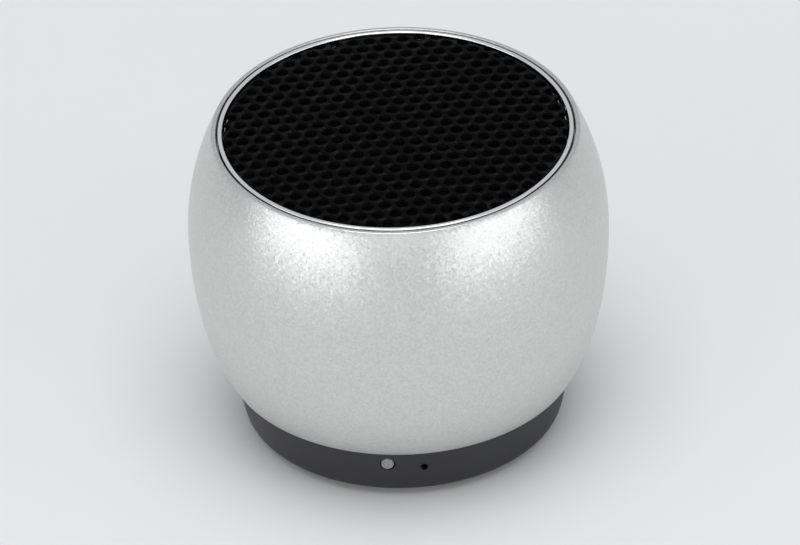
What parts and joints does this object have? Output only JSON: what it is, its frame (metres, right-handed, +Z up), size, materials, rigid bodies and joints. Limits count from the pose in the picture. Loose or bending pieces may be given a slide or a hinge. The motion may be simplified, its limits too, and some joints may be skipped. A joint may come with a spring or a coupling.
{
  "type": "smart speaker",
  "caption": "Small round satin-aluminium desktop speaker: perforated black grille in a polished ring, upward-firing driver, battery, USB inlet, base button and rubber foot ring.",
  "frame": {"origin": "centre of the foot ring on the table surface, on the axis of the round body", "axes": "+Z up along the body's axis, towards the grille; -Y is the front with the status light; +Y is the back with the USB inlet"},
  "size_m": [0.046, 0.046, 0.037],
  "materials": {
    "satin_aluminium": "bead-blasted, fine metallic fleck, satin",
    "polished_ring": "diamond-cut and polished",
    "black_mesh": "satin black enamel",
    "black_cloth": "open acoustic weave",
    "black_plastic": "fine spark-eroded grain",
    "black_rubber": "matt moulded silicone",
    "grey_foam": "closed-cell foam tape",
    "zinc_steel": "bright zinc plated",
    "paper_cone": "pressed black pulp",
    "phenolic_cloth": "resin-dipped cloth",
    "copper": "enamelled copper winding",
    "magnet_nickel": "nickel-plated neodymium",
    "board_green": "solder-masked glass epoxy",
    "chip_black": "moulded epoxy",
    "ceramic_tan": "sintered, unglazed",
    "socket_nylon": "natural nylon",
    "cell_foil": "laminated foil pouch",
    "tray_grey": "moulded, fine grain",
    "clear_pipe": "clear moulded acrylic",
    "wire_red": "extruded vinyl",
    "wire_black": "extruded vinyl"
  },
  "bodies": {
    "housing": {"shell": "satin_aluminium", "grille_bezel": "polished_ring", "grille_mesh": "black_mesh", "dust_scrim": "black_cloth", "grille_gasket": "grey_foam", "driver_gasket": "grey_foam", "driver_frame": "zinc_steel", "cone_surround": "black_rubber", "spider": "phenolic_cloth", "pole_plate": "zinc_steel", "magnet": "magnet_nickel", "magnet_yoke": "zinc_steel", "terminal_board": "phenolic_cloth", "battery_cell": "cell_foil", "battery_pad": "grey_foam", "battery_tray": "tray_grey", "circuit_board": "board_green", "soc_chip": "chip_black", "amp_chip": "chip_black", "charge_chip": "chip_black", "crystal": "zinc_steel", "power_inductor": "chip_black", "capacitor_1": "ceramic_tan", "capacitor_2": "ceramic_tan", "chip_antenna": "socket_nylon", "battery_socket": "socket_nylon", "speaker_socket": "socket_nylon", "switch_body": "chip_black", "status_led": "socket_nylon", "light_pipe": "clear_pipe", "microphone": "zinc_steel", "mic_boot": "black_rubber", "usb_shell": "zinc_steel", "usb_tongue": "black_plastic", "battery_wire_red": "wire_red", "battery_wire_black": "wire_black", "speaker_wire_red": "wire_red", "speaker_wire_black": "wire_black", "base_cover": "black_plastic", "port_frame": "black_plastic", "foot_ring": "black_rubber", "base_screw_1": "zinc_steel", "base_screw_2": "zinc_steel", "base_screw_3": "zinc_steel", "board_screw_1": "zinc_steel", "board_screw_2": "zinc_steel", "board_screw_3": "zinc_steel"},
    "cone_assembly": {"speaker_cone": "paper_cone", "dust_cap": "paper_cone", "coil_former": "phenolic_cloth", "voice_coil": "copper"},
    "button": {"power_button": "black_rubber"},
    "plunger": {"switch_plunger": "socket_nylon"}
  },
  "joints": [
    {"name": "cone_travel", "type": "slide", "parent": "housing", "child": "cone_assembly", "axis": [0, 0, 1], "range_m": [-0.0008, 0.0008], "stiffness_N_per_m": 1300, "deforming": ["cone_surround", "spider"]},
    {"name": "power_button_press", "type": "slide", "parent": "housing", "child": "button", "axis": [0, 0, 1], "range_m": [0, 0.0003], "stiffness_N_per_m": 6700},
    {"name": "switch_plunger_press", "type": "slide", "parent": "housing", "child": "plunger", "axis": [0, 0, 1], "range_m": [0, 0.0003]}
  ],
  "couplings": [
    {"joint": "switch_plunger_press", "follows": "power_button_press", "ratio": 1}
  ]
}
